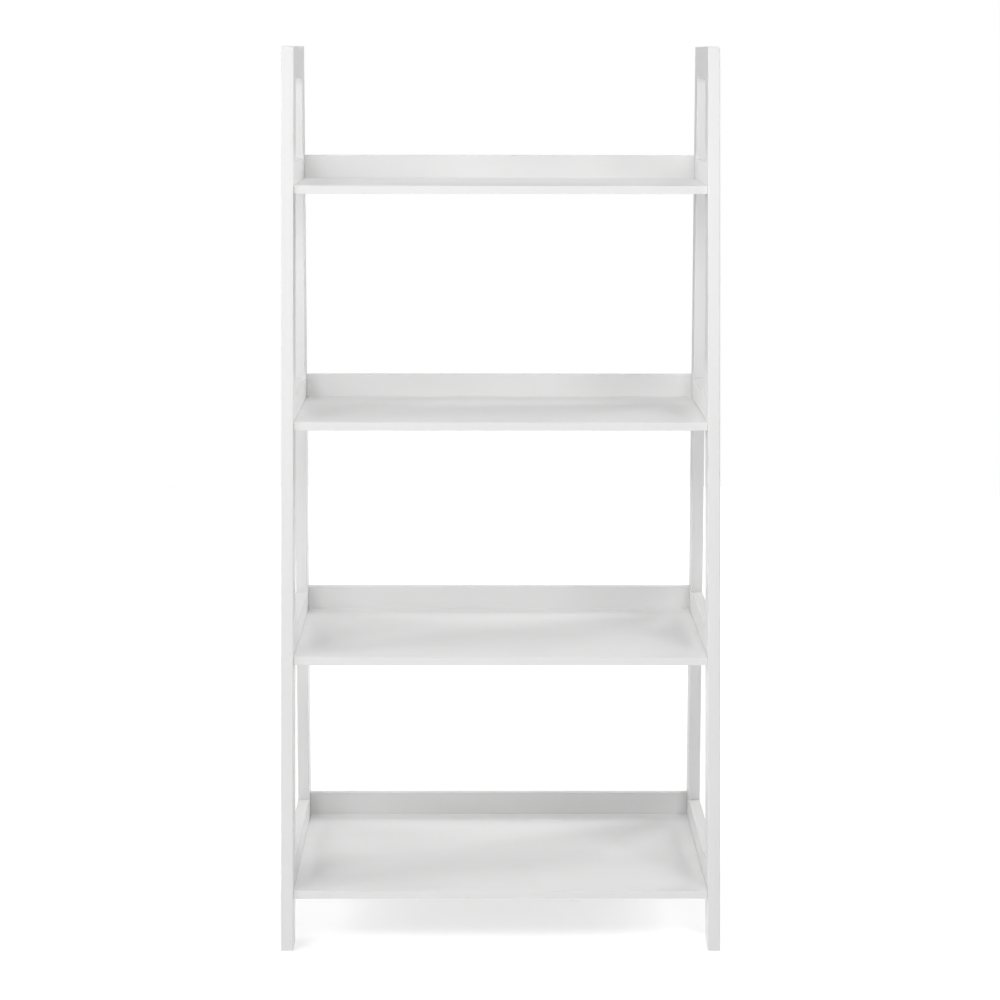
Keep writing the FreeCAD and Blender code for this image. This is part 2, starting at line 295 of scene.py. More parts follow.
def rail_spans(side):
    """Lowest and highest point of each rail of one side frame."""
    names = [f"{side}_top_rail"] + [f"{side}_side_rail_{shelf}" for shelf in SHELVES]
    boxes = [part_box(name) for name in names]
    return [(low[2], high[2]) for low, high in boxes]


def corners_of(node):
    """Lowest and highest corner of a CAD node's box."""
    low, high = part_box(node)
    return np.array(low), np.array(high)


def leg_run(height, spans):
    """Places along a leg, with closer ones where its arris fades out at the rails."""
    near = np.ravel([[low - JOINT_RUNOUT, low - SEAM_STEP, low + SEAM_STEP,
                      high - SEAM_STEP, high + SEAM_STEP, high + JOINT_RUNOUT] for low, high in spans])
    near = near[near < height - FRAME_ARRIS - EDGE_MARGIN]
    return with_places(inner_places(FRAME_ARRIS, height - FRAME_ARRIS, GRID), near, 0.0015)


SPRAYED_TIMBER = sprayed_timber()
for number, side in enumerate(("left", "right")):
    node = f"{side}_front_leg"
    low, high = corners_of(node)
    width, whole_depth, height = high - low
    half_a, half_b = width / 2, FRONT_LEG_DEPTH / 2
    spans = rail_spans(side)
    section = bar_section(half_a, half_b, flat_places(half_a, FRAME_ARRIS, NARROW_FLAT_GRID),
                          flat_places(half_b, FRAME_ARRIS, WIDE_FLAT_GRID))
    run = leg_run(height, spans)
    points, normals, worn = bar_surface(section, height, run, FRAME_ARRIS, FRAME_ARRIS, 1, spans)
    timber = in_timber(points, number)
    points += np.array([low[0] + half_a, low[1] + half_b, low[2]])
    leaned(points, normals, (whole_depth - FRONT_LEG_DEPTH) / height, low[2])
    new_piece(f"{node}_timber", points, normals, timber, worn, bar_faces(worn),
              SPRAYED_TIMBER, "frame_paint", node)


# ---- Rear legs
# Two upright legs, 18 by 48 mm, planed and eased like the front legs. Each has eight counterbored holes in
# its outer face for the screws that hold the back rails; the plugs that close them are made further down.

PLUG_HOLE_RADIUS = 0.0041
PLUG_HOLE_DEPTH = 0.0029
PLUG_HOLE_PATCH = 0.0056
PLUG_HOLE_CLEARANCE = 0.0014
MOUTH_ROUND = 0.0004
PATCH_LINES = 8
PATCH_SLACK = 1e-4
ON_FLAT = 1e-5
SOLID_GAP = 0.006
OUTWARD = {"left": -1, "right": 1}


def solids_of(node, *axes):
    """Boxes of a CAD group's separate solids, split wherever its points leave a gap along an axis."""
    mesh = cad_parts[node].data
    places = np.empty(len(mesh.vertices) * 3, dtype=np.float32)
    mesh.vertices.foreach_get("co", places)
    groups = [places.reshape(-1, 3).astype(float)]
    for axis in axes:
        ordered = [group[np.argsort(group[:, axis])] for group in groups]
        groups = [part for group in ordered
                  for part in np.split(group, np.flatnonzero(np.diff(group[:, axis]) > SOLID_GAP) + 1)]
    return np.array([[group.min(axis=0), group.max(axis=0)] for group in groups])


def patch_places(centres, half):
    """Places of the grid lines that a round hole's patch needs, for each centre in turn."""
    steps = np.linspace(-half, half, PATCH_LINES)
    return (np.unique(np.round(centres, 5))[:, None] + steps).ravel()


def straight_hole(radius, depth):
    """Rings of a bore: radius, depth and tip, over a quarter-round mouth and then down a straight wall."""
    turn = np.linspace(0, np.pi / 2, 4)
    rings = [radius + MOUTH_ROUND * (1 - np.sin(turn)), MOUTH_ROUND * (1 - np.cos(turn)), turn]
    return [np.append(ring, last) for ring, last in zip(rings, (radius, depth, np.pi / 2))]


def bored(points, normals, timber, worn, facing, centres, half, rings, lengthwise):
    """Opens round holes in a flat that faces along an axis, and gives the points and all the faces.

    The quads of a square patch are left out, and the patch's rim is joined to the hole by rings with one
    point for each rim point, in the same direction from the centre. Each ring has a radius, a depth below
    the flat, and a tip that turns its normal from the flat's to one that looks at the hole's axis.
    """
    axis, sign = facing
    first, second = (axis + 1) % 3, (axis + 2) % 3
    order = [(lengthwise + step) % 3 for step in range(3)]
    rows, columns = worn.shape
    number = np.arange(rows * columns).reshape(rows, columns)
    quads = wrapped_quads(rows, columns)
    row, column = quads[:, 0] // columns, quads[:, 0] % columns
    kept = np.ones(len(quads), dtype=bool)
    radius, depth, tip = rings
    parts = [[grid.reshape(-1, 3)] for grid in (points, normals, timber)] + [[worn.ravel()]]
    extra_faces, total = [], rows * columns
    for centre in centres:
        reach = points - centre
        inside = np.abs(reach[..., axis]) < ON_FLAT
        for across in (first, second):
            inside &= np.abs(reach[..., across]) < half + PATCH_SLACK
        top, bottom = np.flatnonzero(inside.any(axis=1))[[0, -1]]
        left, right = np.flatnonzero(inside.any(axis=0))[[0, -1]]
        kept &= ~((row >= top) & (row < bottom) & (column >= left) & (column < right))
        rim = np.concatenate([number[top, left:right], number[top:bottom, right],
                              number[bottom, right:left:-1], number[bottom:top:-1, left]])
        unit = parts[0][0][rim] - centre
        unit[:, axis] = 0
        unit /= np.linalg.norm(unit, axis=1, keepdims=True)
        onward = np.roll(unit, -1, axis=0)
        turning = unit[:, first] * onward[:, second] - unit[:, second] * onward[:, first]
        if turning.sum() * sign < 0:
            rim, unit = rim[::-1], unit[::-1]
        ring = centre + radius[:, None, None] * unit
        ring[..., axis] -= sign * depth[:, None]
        look = -np.sin(tip)[:, None, None] * unit
        look[..., axis] = sign * np.cos(tip)[:, None]
        grain = parts[2][0][rim] + (ring - parts[0][0][rim])[..., order]
        count = len(rim)
        around = np.arange(count)
        joining = np.stack([rim, np.roll(rim, -1), total + (around + 1) % count, total + around], axis=1)
        extra_faces += joining.tolist() + (wrapped_quads(len(radius), count) + total).tolist()
        extra_faces.append((total + (len(radius) - 1) * count + around).tolist())
        edge = np.broadcast_to(np.sin(2 * tip)[:, None], ring.shape[:2])
        for part, new in zip(parts, (ring, look, grain)):
            part.append(new.reshape(-1, 3))
        parts[3].append(edge.ravel())
        total += len(radius) * count
    faces = quads[kept].tolist() + end_faces(rows, columns) + extra_faces
    return [np.concatenate(part) for part in parts], faces


for number, side in enumerate(("left", "right"), start=2):
    node = f"{side}_rear_leg"
    low, high = corners_of(node)
    width, depth, height = high - low
    half_a, half_b = width / 2, depth / 2
    spans = rail_spans(side)
    holes = solids_of(f"{side}_cover_plugs", 2).mean(axis=1)
    holes[:, 0] = low[0] if side == "left" else high[0]
    across = with_places(flat_places(half_b, FRAME_ARRIS, WIDE_FLAT_GRID),
                         patch_places(holes[:, 1] - low[1] - half_b, PLUG_HOLE_PATCH), PLUG_HOLE_CLEARANCE)
    section = bar_section(half_a, half_b, flat_places(half_a, FRAME_ARRIS, NARROW_FLAT_GRID), across)
    run = with_places(leg_run(height, spans),
                      patch_places(holes[:, 2] - low[2], PLUG_HOLE_PATCH), PLUG_HOLE_CLEARANCE)
    points, normals, worn = bar_surface(section, height, run, FRAME_ARRIS, FRAME_ARRIS, -1, spans)
    timber = in_timber(points, number)
    points += np.array([low[0] + half_a, low[1] + half_b, low[2]])
    grids, faces = bored(points, normals, timber, worn, (0, OUTWARD[side]), holes, PLUG_HOLE_PATCH,
                         straight_hole(PLUG_HOLE_RADIUS, PLUG_HOLE_DEPTH), 2)
    new_piece(f"{node}_timber", *grids, faces, SPRAYED_TIMBER, "frame_paint", node)


# ---- Top rails and side rails
# Short rails glued between the legs on dowels, as thick as the legs and flush with them. Their front ends
# are sawn to the lean of the front leg. Each side rail has a round bore in its underside for a cam.

CAM_BORE_RADIUS = 0.005
CAM_BORE_DEPTH = 0.0098
CAM_BORE_PATCH = 0.0063
CAM_BORE_CLEARANCE = 0.0008

rail_number = 4
for side in ("left", "right"):
    cams = solids_of(f"{side}_connector_cams", 2).mean(axis=1)
    leg_low, leg_high = corners_of(f"{side}_front_leg")
    lean = (leg_high[1] - leg_low[1] - FRONT_LEG_DEPTH) / (leg_high[2] - leg_low[2])
    for node in [f"{side}_top_rail"] + [f"{side}_side_rail_{shelf}" for shelf in SHELVES]:
        low, high = corners_of(node)
        width, length, height = high - low
        half_a, half_b = height / 2, width / 2
        centre = cams[(cams[:, 2] > low[2]) & (cams[:, 2] < high[2])]
        run = inner_places(JOINT_ARRIS, length - JOINT_ARRIS, GRID)
        across = flat_places(half_b, FRAME_ARRIS, NARROW_FLAT_GRID)
        if len(centre):
            centre[:, 2] = low[2]
            run = with_places(run, patch_places(centre[:, 1] - low[1], CAM_BORE_PATCH))
            across = with_places(across, patch_places([0.0], CAM_BORE_PATCH), CAM_BORE_CLEARANCE)
        section = bar_section(half_a, half_b, flat_places(half_a, FRAME_ARRIS, WIDE_FLAT_GRID), across)
        points, normals, worn = bar_surface(section, length, run, FRAME_ARRIS, JOINT_ARRIS)
        timber = in_timber(points, rail_number)
        points = points[..., [1, 2, 0]] + np.array([low[0] + half_b, low[1], low[2] + half_a])
        normals = normals[..., [1, 2, 0]]
        leaned(points, normals, lean * (1 - (points[..., 1] - low[1]) / length), low[2])
        grids, faces = bored(points, normals, timber, worn, (2, -1), centre, CAM_BORE_PATCH,
                             straight_hole(CAM_BORE_RADIUS, CAM_BORE_DEPTH), 1)
        new_piece(f"{node}_timber", *grids, faces, SPRAYED_TIMBER, "frame_paint", node)
        rail_number += 1


# ---- Shelf boards
# Four 12 mm boards cut to fit between the side frames, sanded smooth on the faces and a little fuzzier on
# the cut edges, and sprayed with the same white satin before they are fitted.

BOARD_ARRIS = 0.001
BOARD_GRID = 0.010
SCREW_HOLE_PATCH = 0.0047
SCREW_HOLE_CLEARANCE = 0.0012
SINK_RINGS = (np.array([0.0043, 0.0040, 0.0024, 0.0023, 0.0023]),
              np.array([0.0, 0.0002, 0.0023, 0.0026, 0.011]),
              np.array([0.2, 0.8, 0.8, 1.4, np.pi / 2]))


def sprayed_board():
    """White satin over a sanded board: almost even, with faint spray texture and rougher cut edges."""
    material, tree, surface = new_material("sprayed_board")
    timber = add_node(tree, "ShaderNodeAttribute", attribute_name="timber").outputs["Vector"]
    arris = add_node(tree, "ShaderNodeAttribute", attribute_name="arris").outputs["Fac"]
    spot = add_node(tree, "ShaderNodeTexCoord").outputs["Object"]
    cloud = stretched_noise(tree, timber, (3.0, 5.0, 5.0))
    streak = stretched_noise(tree, timber, (3.5, 90.0, 90.0), 5.0, 0.6)
    peel = stretched_noise(tree, spot, (450.0, 450.0, 450.0), 3.0)
    rub = stretched_noise(tree, timber, (30.0, 60.0, 60.0), 4.0, 0.65)
    coat = mixed(tree, spread(tree, cloud, 0.3, 0.7, 0.0, 1.0),
                 (0.822, 0.822, 0.82, 1), (0.845, 0.845, 0.843, 1))
    coat = mixed(tree, spread(tree, streak, 0.50, 0.75, 0.0, 0.20), coat, (0.785, 0.783, 0.778, 1))
    thin = times(tree, arris, spread(tree, rub, 0.56, 0.68, 0.0, 0.40))
    tree.links.new(mixed(tree, thin, coat, (0.70, 0.68, 0.64, 1)), surface.inputs["Base Color"])
    tree.links.new(spread(tree, rub, 0.3, 0.7, 0.34, 0.46), surface.inputs["Roughness"])
    relief = bumped(tree, streak, 0.20, 0.00010)
    relief = bumped(tree, peel, 0.30, 0.00005, relief)
    tree.links.new(relief, surface.inputs["Normal"])
    surface.inputs["IOR"].default_value = 1.48
    return material


def cross_piece(node, number, spacing, holes):
    """A board or back rail that lies along +X between the side frames, with any screw holes in its rear."""
    low, high = corners_of(node)
    length, depth, height = high - low
    half_a, half_b = depth / 2, height / 2
    run = inner_places(BOARD_ARRIS, length - BOARD_ARRIS, GRID)
    upright = flat_places(half_b, BOARD_ARRIS, WIDE_FLAT_GRID)
    if len(holes):
        run = with_places(run, patch_places(holes[:, 0] - low[0], SCREW_HOLE_PATCH))
        upright = with_places(upright, patch_places(holes[:, 2] - low[2] - half_b, SCREW_HOLE_PATCH),
                              SCREW_HOLE_CLEARANCE)
    section = bar_section(half_a, half_b, flat_places(half_a, BOARD_ARRIS, spacing), upright)
    points, normals, worn = bar_surface(section, length, run, BOARD_ARRIS, BOARD_ARRIS)
    timber = in_timber(points, number)
    points = points[..., [2, 0, 1]] + np.array([low[0], low[1] + half_a, low[2] + half_b])
    normals = normals[..., [2, 0, 1]]
    grids, faces = bored(points, normals, timber, worn, (1, 1), holes, SCREW_HOLE_PATCH, SINK_RINGS, 0)
    new_piece(f"{node}_painted", *grids, faces, SPRAYED_BOARD, "shelf_paint", node)


SPRAYED_BOARD = sprayed_board()
for shelf in SHELVES:
    cross_piece(f"shelf_board_{shelf}", 20 + shelf, BOARD_GRID, np.empty((0, 3)))


# ---- Back rails
# A 12 mm strip behind each board, set 3 mm in from the rear legs' back faces. It closes the board's rear
# edge, stands above it so that nothing slides off, and is countersunk for three screws into the board.

centres = solids_of("board_edge_screws", 2, 0).mean(axis=1)
for shelf in SHELVES:
    node = f"back_rail_{shelf}"
    low, high = corners_of(node)
    own = centres[(centres[:, 2] > low[2]) & (centres[:, 2] < high[2])]
    own[:, 1] = high[1]
    cross_piece(node, 30 + shelf, WIDE_FLAT_GRID, own)


# ---- Frame dowels
# Fluted beech dowels, 8 by 30 mm, two in each rail end. They are glued in and pressed home, so nothing of
# them shows once the frame is together.

DOWEL_FLUTES = 16
FLUTE_DEPTH = 0.00022
DOWEL_CHAMFER = 0.0012
DOWEL_COLUMNS = 64


def turned_group(name, starts, directions, along, radius, material, node):
    """Like forms turned about an axis, one at each start, as one piece.

    Rows lie along the axis and columns around it: a point is start + along * direction + radius *
    (cosine of its angle * across + sine of its angle * upright), with a radius of its own.
    """
    rows, columns = radius.shape
    angle = np.arange(columns) * 2 * np.pi / columns
    directions = np.broadcast_to(directions, starts.shape)
    across = np.roll(directions, 1, axis=1)
    upright = np.cross(directions, across)
    spoke = np.cos(angle)[:, None] * across[:, None] + np.sin(angle)[:, None] * upright[:, None]
    reach = np.broadcast_to(along, radius.shape)[..., None] * directions[:, None, None]
    points = starts[:, None, None] + reach
    points = points + radius[..., None] * spoke[:, None]
    one = wrapped_quads(rows, columns)
    faces = []
    for first in np.arange(len(starts)) * rows * columns:
        faces += (one + first).tolist()
        faces += [[corner + int(first) for corner in face] for face in end_faces(rows, columns)]
    mesh = bpy.data.meshes.new(name)
    mesh.from_pydata(points.reshape(-1, 3).tolist(), [], faces)
    mesh.polygons.foreach_set("use_smooth", np.ones(len(mesh.polygons), dtype=bool))
    mesh.set_sharp_from_angle(angle=math.radians(38))
    placed_piece(name, mesh, material, node)


def bare_beech():
    """Pale beech turned along the grain, with short dark flecks and a dull, open surface."""
    material, tree, surface = new_material("bare_beech")
    spot = add_node(tree, "ShaderNodeTexCoord").outputs["Object"]
    grain = stretched_noise(tree, spot, (900.0, 60.0, 900.0), 4.0, 0.6)
    fleck = stretched_noise(tree, spot, (2200.0, 350.0, 2200.0), 2.0)
    wood = mixed(tree, spread(tree, grain, 0.3, 0.7, 0.0, 1.0), (0.50, 0.33, 0.19, 1), (0.66, 0.47, 0.29, 1))
    wood = mixed(tree, spread(tree, fleck, 0.60, 0.72, 0.0, 0.6), wood, (0.32, 0.19, 0.10, 1))
    tree.links.new(wood, surface.inputs["Base Color"])
    tree.links.new(spread(tree, grain, 0.3, 0.7, 0.62, 0.78), surface.inputs["Roughness"])
    tree.links.new(bumped(tree, grain, 0.4, 0.0001), surface.inputs["Normal"])
    return material


BARE_BEECH = bare_beech()
for side in ("left", "right"):
    for place in ("front", "rear"):
        node = f"{side}_{place}_dowels"
        boxes = solids_of(node, 2)
        starts = boxes.mean(axis=1)
        starts[:, 1] = boxes[:, 0, 1]
        length = boxes[0, 1, 1] - boxes[0, 0, 1]
        full_radius = (boxes[0, 1, 0] - boxes[0, 0, 0]) / 2
        along = np.array([0, 0.35, 1, 1.4, 6, 12])[:, None] * DOWEL_CHAMFER
        along = np.concatenate([along, length - along[::-1]])
        angle = np.arange(DOWEL_COLUMNS) * 2 * np.pi / DOWEL_COLUMNS
        chamfer = np.clip(DOWEL_CHAMFER - np.minimum(along, length - along), 0, None) * 0.8
        flute = FLUTE_DEPTH * (0.5 - 0.5 * np.cos(DOWEL_FLUTES * angle)) * (chamfer <= 0)
        turned_group(f"{node}_fluted", starts, np.array([0.0, 1, 0]), along, full_radius - chamfer - flute,
                     BARE_BEECH, node)


# ---- Edge screws and end screws
# Zinc-plated countersunk chipboard screws, 4 mm, with a cross recess. Twelve go through the back rails into
# the boards; sixteen go through the rear legs into the ends of the back rails.

SCREW_RADIUS = 0.002
SCREW_HEAD_RADIUS = 0.0038
THREAD_PITCH = 0.0018
THREAD_CORE = 0.0013
HEAD_HEIGHT = 0.0026
RECESS_REACH = 0.0021
RECESS_DEPTH = 0.0013


def zinc_plate():
    """Bright zinc plate: a cool metal with cloudy patches, fine turning lines and a slight dullness."""
    material, tree, surface = new_material("zinc_plate")
    spot = add_node(tree, "ShaderNodeTexCoord").outputs["Object"]
    cloud = stretched_noise(tree, spot, (500.0, 500.0, 500.0), 3.0)
    turning = stretched_noise(tree, spot, (2600.0, 2600.0, 2600.0), 2.0)
    plate = mixed(tree, spread(tree, cloud, 0.3, 0.7, 0.0, 1.0), (0.60, 0.61, 0.63, 1), (0.76, 0.77, 0.78, 1))
    tree.links.new(plate, surface.inputs["Base Color"])
    tree.links.new(spread(tree, cloud, 0.3, 0.7, 0.24, 0.42), surface.inputs["Roughness"])
    tree.links.new(bumped(tree, turning, 0.25, 0.00003), surface.inputs["Normal"])
    surface.inputs["Metallic"].default_value = 1.0
    return material


def ridge(along, angle, pitch):
    """Thread ridge, 1 on its crest and 0 in the root: a steep wave of distance less turns of the pitch."""
    wave = 0.5 + 0.5 * np.cos(2 * np.pi * (along / pitch - angle / (2 * np.pi)))
    return wave ** 2.5


def countersunk_screw(length, shank, head, columns=32):
    """Distances and radii of a screw from its head: recess, rim, cone, plain neck, thread and point.

    Over the head's flat the radius grows and the distance is the recess's depth, which falls away with
    the distance from the nearer arm of the cross. Below it the radius follows the cone, then the neck,
    then core + ridge, and the last stretch narrows to the point.
    """
    angle = np.arange(columns) * 2 * np.pi / columns
    flat = np.array([0.08, 0.3, 0.5, 0.62, 0.8, 0.95, 1.08, 1.2, 1.45, 1.8])[:, None] * RECESS_REACH / 1.2
    arm = flat * np.minimum(np.abs(np.cos(angle)), np.abs(np.sin(angle)))
    in_arm = np.clip((0.00062 - arm) / 0.00022, 0, 1) * np.clip((RECESS_REACH - flat) / 0.0004, 0, 1)
    flat_along = 0.00012 + RECESS_DEPTH * in_arm * (1 - 0.45 * flat / RECESS_REACH)
    flat_radius = np.broadcast_to(flat, flat_along.shape)
    cone = np.array([[0.00012, head - 0.00015], [0.00035, head], [0.0005, head - 0.00006],
                     [HEAD_HEIGHT, shank * 0.72], [HEAD_HEIGHT + 0.003, shank * 0.70]])
    thread_along = np.arange(cone[-1, 0] + 0.0004, length, THREAD_PITCH / 5)[:, None]
    taper = np.clip((length - thread_along) / 0.006, 0.04, 1) ** 0.8
    start = np.clip((thread_along - cone[-1, 0]) / 0.001, 0, 1)
    core = THREAD_CORE + (shank * 0.70 - THREAD_CORE) * (1 - start)
    thread = (core + (shank - core) * start * ridge(thread_along, angle, THREAD_PITCH)) * taper
    along = np.concatenate([flat_along, np.broadcast_to(cone[:, :1], (len(cone), columns)),
                            np.broadcast_to(thread_along, thread.shape)])
    radius = np.concatenate([flat_radius, np.broadcast_to(cone[:, 1:], (len(cone), columns)), thread])
    return along, radius


def sideways_solids(node, side):
    """Outer end points of a side's solids that lie along X, one for each solid, and their length."""
    boxes = solids_of(node, 2)
    starts = boxes.mean(axis=1)
    starts[:, 0] = boxes[:, 0 if side == "left" else 1, 0]
    return starts, (boxes[:, 1, 0] - boxes[:, 0, 0]).max()


ZINC_PLATE = zinc_plate()
boxes = solids_of("board_edge_screws", 2, 0)
starts = boxes.mean(axis=1)
starts[:, 1] = boxes[:, 1, 1]
along, radius = countersunk_screw((boxes[:, 1, 1] - boxes[:, 0, 1]).max(), SCREW_RADIUS, SCREW_HEAD_RADIUS)
turned_group("board_edge_screws_plated", starts, np.array([0.0, -1, 0]), along, radius,
             ZINC_PLATE, "board_edge_screws")
for side in ("left", "right"):
    node = f"{side}_end_screws"
    starts, length = sideways_solids(node, side)
    along, radius = countersunk_screw(length, SCREW_RADIUS, SCREW_HEAD_RADIUS)
    turned_group(f"{node}_plated", starts, np.array([-OUTWARD[side], 0, 0]), along, radius,
                 ZINC_PLATE, node)


# ---- Connector studs
# Zinc-plated studs, one screwed into each end of each board near the front. The shank crosses into the
# side rail, and the round head is caught there by the cam.

STUD_PITCH = 0.0025


def stud_form(length, columns=32):
    """Distances and radii of a stud from its head: a rounded head, a shank, a collar and a coarse thread."""
    angle = np.arange(columns) * 2 * np.pi / columns
    turned = np.array([[0.0, 0.0006], [0.0, 0.0024], [0.0003, 0.0029], [0.0008, 0.0030], [0.0014, 0.0029],
                       [0.0020, 0.0023], [0.0024, 0.00225], [0.0098, 0.00225], [0.0100, 0.0029],
                       [0.0108, 0.0030], [0.0112, 0.0022]])
    thread_along = np.arange(0.0116, length - 0.0002, STUD_PITCH / 6)[:, None]
    taper = np.clip((length - thread_along) / 0.004, 0.3, 1)
    thread = (0.0021 + 0.0009 * ridge(thread_along, angle, STUD_PITCH)) * taper
    along = np.concatenate([np.broadcast_to(turned[:, :1], (len(turned), columns)),
                            np.broadcast_to(thread_along, thread.shape)])
    radius = np.concatenate([np.broadcast_to(turned[:, 1:], (len(turned), columns)), thread])
    return along, radius


for side in ("left", "right"):
    node = f"{side}_connector_studs"
    starts, length = sideways_solids(node, side)
    along, radius = stud_form(length)
    turned_group(f"{node}_plated", starts, np.array([-OUTWARD[side], 0, 0]), along, radius,
                 ZINC_PLATE, node)


# ---- Connector cams
# Die-cast zinc cams, 10 mm across and 8 mm tall, pushed up the bores under the side rails. A half turn with
# a cross-head driver draws the stud's head in; the mouth at the side is where the stud enters.

CAM_MOUTH_REACH = 0.0042
CAM_CLEARANCE = 0.00015


def die_cast():
    """Die-cast zinc: a grey metal with a grainy, tumbled skin in cloudy lighter and darker patches."""
    material, tree, surface = new_material("die_cast")
    spot = add_node(tree, "ShaderNodeTexCoord").outputs["Object"]
    cloud = stretched_noise(tree, spot, (400.0, 400.0, 400.0), 4.0)
    grit = stretched_noise(tree, spot, (3200.0, 3200.0, 3200.0), 3.0)
    skin = mixed(tree, spread(tree, cloud, 0.3, 0.7, 0.0, 1.0), (0.40, 0.40, 0.41, 1), (0.56, 0.56, 0.57, 1))
    tree.links.new(skin, surface.inputs["Base Color"])
    tree.links.new(spread(tree, grit, 0.3, 0.7, 0.38, 0.58), surface.inputs["Roughness"])
    tree.links.new(bumped(tree, grit, 0.5, 0.00006), surface.inputs["Normal"])
    surface.inputs["Metallic"].default_value = 1.0
    return material


def cam_form(height, reach, mouth_angle, columns=48):
    """Distances and radii of a cam from its lower end: a cross recess, a chamfer, and a wall with a mouth.

    The mouth is a hollow of the wall's radius. It is deepest where the stud enters, and fades over the
    height and over the angle away from there.
    """
    angle = np.arange(columns) * 2 * np.pi / columns
    flat = np.array([0.02, 0.12, 0.22, 0.32, 0.42, 0.52, 0.62, 0.70, 0.8, 0.93])[:, None] * reach
    arm = flat * np.minimum(np.abs(np.cos(angle)), np.abs(np.sin(angle)))
    in_arm = np.clip((0.0009 - arm) / 0.0003, 0, 1) * np.clip((0.0034 - flat) / 0.0004, 0, 1)
    rise = np.array([0.0004, 0.0016, 0.0022, 0.0027, 0.004, 0.0053, 0.0058, 0.0064, 0.0076])[:, None]
    near = np.clip((0.75 - np.abs((angle - mouth_angle + np.pi) % (2 * np.pi) - np.pi)) / 0.15, 0, 1)
    mouth = near * np.clip((0.0019 - np.abs(rise - height / 2)) / 0.0004, 0, 1)
    wall = np.broadcast_to(reach - CAM_MOUTH_REACH * mouth, (len(rise), columns))
    foot = np.full((1, columns), reach * 0.93)
    top = np.full((1, columns), height)
    along = np.concatenate([0.0016 * in_arm, np.broadcast_to(rise, wall.shape), top])
    return along, np.concatenate([np.broadcast_to(flat, in_arm.shape), wall, foot])


DIE_CAST = die_cast()
for side in ("left", "right"):
    node = f"{side}_connector_cams"
    boxes = solids_of(node, 2)
    starts = boxes.mean(axis=1)
    starts[:, 2] = boxes[:, 0, 2]
    width, _, height = boxes[0, 1] - boxes[0, 0]
    reach = width / 2 - CAM_CLEARANCE
    along, radius = cam_form(height, reach, 0.0 if side == "left" else np.pi)
    turned_group(f"{node}_cast", starts, np.array([0.0, 0, 1]), along, radius,
                 DIE_CAST, node)


# ---- Cover plugs
# Moulded white caps, 8 mm across, pressed into the holes in the rear legs' outer faces to hide the screws.
# Their heads are very slightly domed and end flush with the leg.

PLUG_RADIUS = 0.00396
PLUG_DOME = 0.00028
PLUG_COLUMNS = 40


def moulded_white():
    """Moulded white plastic, a touch warmer than the paint, with a fine spark-eroded grain."""
    material, tree, surface = new_material("moulded_white")
    spot = add_node(tree, "ShaderNodeTexCoord").outputs["Object"]
    cloud = stretched_noise(tree, spot, (180.0, 180.0, 180.0), 2.0)
    grit = stretched_noise(tree, spot, (2400.0, 2400.0, 2400.0), 2.0)
    white = mixed(tree, spread(tree, cloud, 0.3, 0.7, 0.0, 1.0),
                  (0.79, 0.785, 0.77, 1), (0.83, 0.826, 0.815, 1))
    tree.links.new(white, surface.inputs["Base Color"])
    tree.links.new(spread(tree, grit, 0.3, 0.7, 0.38, 0.52), surface.inputs["Roughness"])
    tree.links.new(bumped(tree, grit, 0.3, 0.00004), surface.inputs["Normal"])
    return material


MOULDED_WHITE = moulded_white()
part = np.array([0.06, 0.25, 0.45, 0.65, 0.82, 0.94, 0.985])[:, None]
sink = np.array([0.00045, 0.0009, 0.0012, 0.0018, 0.0021, 0.0028])[:, None]
neck = np.array([1.0, 1.0, 0.975, 0.975, 1.0, 0.93])[:, None]
along = np.concatenate([PLUG_DOME * part ** 2, sink])
radius = np.tile(PLUG_RADIUS * np.concatenate([part, neck]), PLUG_COLUMNS)
for side in ("left", "right"):
    node = f"{side}_cover_plugs"
    starts, _ = sideways_solids(node, side)
    turned_group(f"{node}_moulded", starts, np.array([-OUTWARD[side], 0, 0]), along, radius,
                 MOULDED_WHITE, node)


# ---- Floor, light and camera
# A pale backlit table under a white sky, soft panels in front, above and behind, and a long lens held a
# little below the shelf's top and tipped down.

BACKGROUND_WHITE = 1.0
SKY_LIGHT = 0.03
world = bpy.data.worlds.new("studio")
bpy.context.scene.world = world
world.use_nodes = True
tree = world.node_tree
seen = add_node(tree, "ShaderNodeLightPath").outputs["Is Camera Ray"]
sky = add_node(tree, "ShaderNodeMapRange", {"Value": seen, "To Min": SKY_LIGHT, "To Max": BACKGROUND_WHITE})
tree.nodes["Background"].inputs["Color"].default_value = (1, 1, 1, 1)
tree.links.new(sky.outputs["Result"], tree.nodes["Background"].inputs["Strength"])

FLOOR_REACH = 4.3
FLOOR_GLOW = 0.285
RIM_GLOW = 0.75
EVEN_GLOW_REACH = 1.8
RIM_POINTS = 128
floor_material, tree, surface = new_material("pale_table")
surface.inputs["Base Color"].default_value = (0.92, 0.92, 0.92, 1)
surface.inputs["Roughness"].default_value = 0.9
surface.inputs["Specular IOR Level"].default_value = 0.2
surface.inputs["Emission Color"].default_value = (1, 1, 1, 1)
spot = add_node(tree, "ShaderNodeTexCoord").outputs["Object"]
away = add_node(tree, "ShaderNodeVectorMath", {0: spot}, operation="LENGTH").outputs["Value"]
glow = spread(tree, away, EVEN_GLOW_REACH, FLOOR_REACH, FLOOR_GLOW, RIM_GLOW)
tree.links.new(glow, surface.inputs["Emission Strength"])
angle = np.arange(RIM_POINTS) * 2 * np.pi / RIM_POINTS
rim = FLOOR_REACH * np.stack([np.cos(angle), np.sin(angle), 0 * angle], axis=1)
floor_mesh = bpy.data.meshes.new("pale_table")
floor_mesh.from_pydata(rim.tolist(), [], [list(range(RIM_POINTS))])
floor_mesh.materials.append(floor_material)
floor = bpy.data.objects.new("pale_table", floor_mesh)
bpy.context.collection.objects.link(floor)
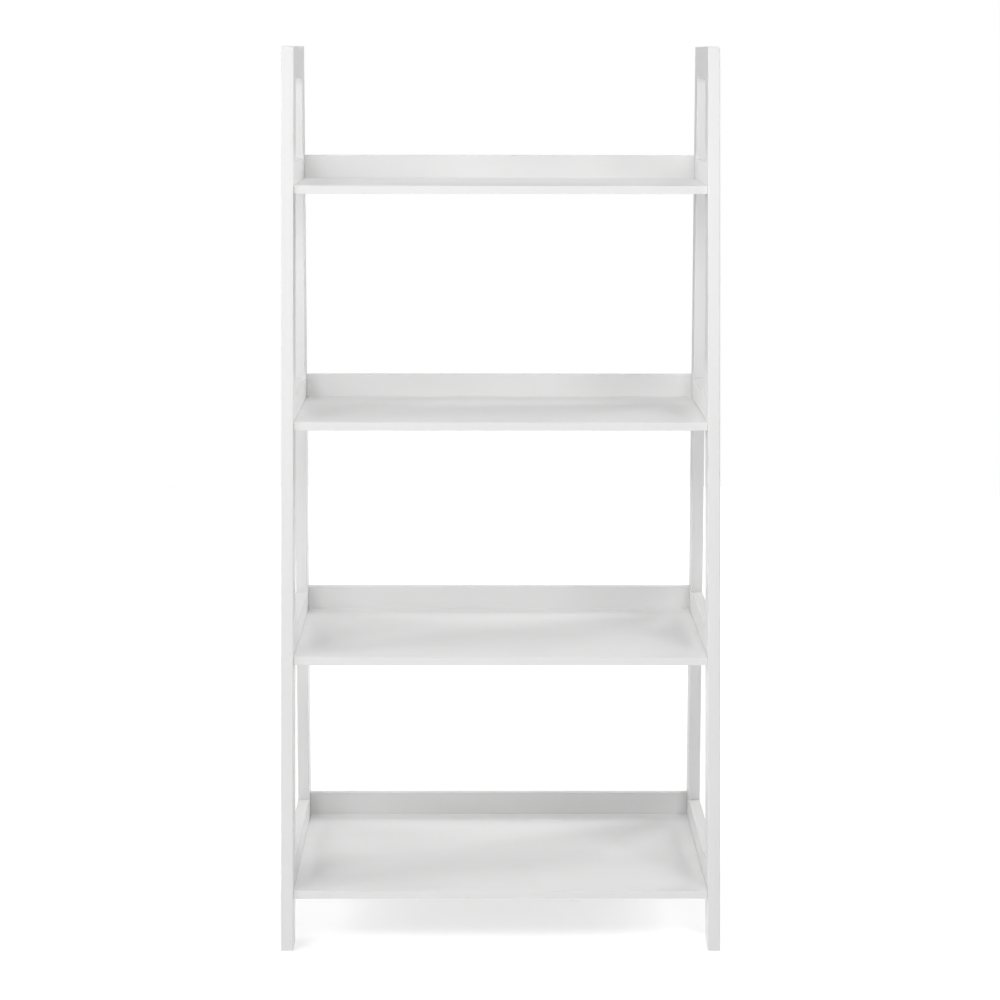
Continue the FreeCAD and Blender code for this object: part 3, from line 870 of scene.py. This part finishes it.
floor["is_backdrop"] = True


def panel(name, place, aim, size, power):
    """A square soft light at a place, turned to its aim, that the camera doesn't see itself."""
    light = bpy.data.lights.new(name, "AREA")
    light.shape = "SQUARE"
    light.size = size
    light.energy = power
    lamp = bpy.data.objects.new(name, light)
    lamp.location = place
    lamp.rotation_euler = (Vector(aim) - Vector(place)).to_track_quat("-Z", "Y").to_euler()
    lamp.visible_camera = False
    bpy.context.collection.objects.link(lamp)


MIDDLE = (0, 0, 0.65)
panel("near_left_high", (-1.5, -1.9, 2.2), (0, 0, 1.0), 1.0, 9.8)
panel("overhead", (0, 0, 3.8), MIDDLE, 2.4, 36.5)
panel("table_rear", (0, 5.0, 4.0), (0, 4.6, 0), 4.0, 57.7)
panel("rear_left", (-3.0, 2.4, 2.0), (0, 0.5, 0.3), 1.8, 34.5)
panel("rear_right", (3.0, 2.4, 2.0), (0, 0.5, 0.3), 1.8, 82.9)
panel("left_side", (-3.0, -1.2, 1.8), (0.3, 0, 0.8), 1.2, 24.2)
panel("front_left", (-2.5, -2.5, 1.5), (0.3, 0, 0.8), 1.0, 6.8)
panel("top_left", (-0.9, -1.7, 1.6), (0, 0, 1.1), 0.8, 4.0)
panel("top_right", (0.9, -1.7, 1.6), (0, 0, 1.1), 0.8, 9.2)
panel("top_centre", (0, -1.7, 1.7), (0, 0, 1.1), 0.8, 5.0)

CAMERA_PLACE = Vector((-0.02746, -4.1934, 1.2900))
YAW, PITCH, ROLL = (math.radians(angle) for angle in (0.372, 8.956, 0.078))
forward = Vector((math.sin(YAW) * math.cos(PITCH), math.cos(YAW) * math.cos(PITCH), -math.sin(PITCH)))
level_right = Vector((math.cos(YAW), -math.sin(YAW), 0))
level_up = level_right.cross(forward)
right = math.cos(ROLL) * level_right + math.sin(ROLL) * level_up
up = math.cos(ROLL) * level_up - math.sin(ROLL) * level_right
camera = bpy.data.objects.new("camera", bpy.data.cameras.new("camera"))
camera.data.sensor_width = 36
camera.data.lens = 101.77
camera.data.clip_end = 200
camera.matrix_world = Matrix.Translation(CAMERA_PLACE) @ Matrix((right, up, -forward)).transposed().to_4x4()
bpy.context.collection.objects.link(camera)
bpy.context.scene.camera = camera
bpy.context.scene.view_settings.view_transform = "Standard"

boxes = {"cad": cad_box, "visual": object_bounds()}
